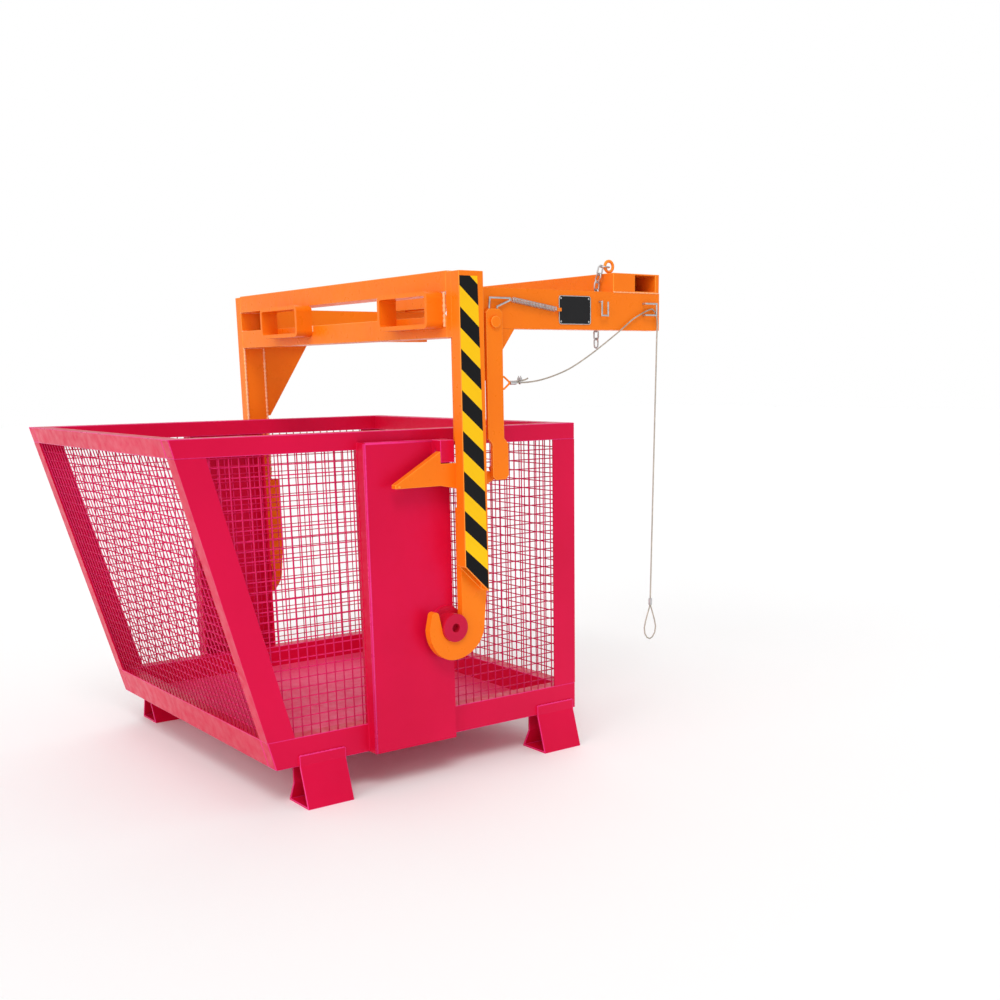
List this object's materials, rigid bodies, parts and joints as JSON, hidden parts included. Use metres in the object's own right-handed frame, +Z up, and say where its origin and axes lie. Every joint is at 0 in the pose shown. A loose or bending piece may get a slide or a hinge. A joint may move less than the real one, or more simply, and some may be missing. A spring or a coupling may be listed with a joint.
{
  "type": "self dumping hopper",
  "caption": "Lattice hopper hung by side trunnions in an open-hook portal frame for forks; a rope-pulled lever frees the latch and the container tips forward about the trunnions.",
  "frame": {"origin": "on the ground, under the tipping axis, midway between the hooks", "axes": "+X towards the fork truck, the container's slanted front at -X; +Y to the side without the latch; +Z up"},
  "size_m": [1.584, 1.454, 1.5323],
  "materials": {
    "container_red": "glossy red paint",
    "net_red": "red paint over welded wire",
    "frame_orange": "glossy orange paint",
    "steel": "zinc plated steel",
    "trunnion_steel": "worn red paint on turned steel",
    "rope_steel": "thin wire rope"
  },
  "bodies": {
    "frame": {"cheek_plate": "frame_orange", "lower_chord": "frame_orange", "upper_chord": "frame_orange", "rear_cross_tube": "frame_orange", "lever_bolt": "frame_orange", "spring_anchor": "frame_orange", "safety_eye": "frame_orange", "near_post": "frame_orange", "near_hook": "frame_orange", "near_fork_sleeve": "frame_orange", "near_side_beam": "frame_orange", "near_corner_gusset": "frame_orange", "far_post": "frame_orange", "far_hook": "frame_orange", "far_fork_sleeve": "frame_orange", "far_side_beam": "frame_orange", "far_corner_gusset": "frame_orange", "latch_bolt": "steel", "rope_hanger": "steel", "rope_guide": "steel", "return_spring": "steel", "rope_end_clamp": "steel", "release_rope": "rope_steel", "rope_end_loop": "rope_steel"},
    "container": {"floor_sheet": "container_red", "front_rail": "container_red", "rear_rail": "container_red", "front_rim": "container_red", "rear_rim": "container_red", "catch_bracket": "container_red", "near_rail": "container_red", "near_rim": "container_red", "near_front_angle": "container_red", "near_rear_angle": "container_red", "near_column": "container_red", "near_front_foot": "container_red", "near_rear_foot": "container_red", "far_rail": "container_red", "far_rim": "container_red", "far_front_angle": "container_red", "far_rear_angle": "container_red", "far_column": "container_red", "far_front_foot": "container_red", "far_rear_foot": "container_red", "front_net": "net_red", "rear_net": "net_red", "near_front_net": "net_red", "near_rear_net": "net_red", "far_front_net": "net_red", "far_rear_net": "net_red", "near_trunnion": "trunnion_steel", "far_trunnion": "trunnion_steel"},
    "latch": {"latch_plate": "frame_orange"},
    "lever": {"release_lever": "frame_orange", "lever_spring_loop": "steel", "lever_rope_eye": "frame_orange", "rope_clamp": "steel"}
  },
  "joints": [
    {"name": "container_tip", "type": "hinge", "parent": "frame", "child": "container", "pos_m": [0, 0, 0.472], "axis": [0, -1, 0], "range_deg": [0, 120]},
    {"name": "lever_swing", "type": "hinge", "parent": "frame", "child": "lever", "pos_m": [0.145, -0.7088, 1.34], "axis": [0, -1, 0], "range_deg": [0, 20], "stiffness_Nm_per_rad": 15, "springref_deg": -25.78, "deforming": ["return_spring", "release_rope"]},
    {"name": "latch_swing", "type": "hinge", "parent": "frame", "child": "latch", "pos_m": [0.078, -0.6757, 0.898], "axis": [0, -1, 0], "range_deg": [0, 25]}
  ],
  "couplings": [
    {"joint": "latch_swing", "follows": "lever_swing", "ratio": 1.25}
  ]
}
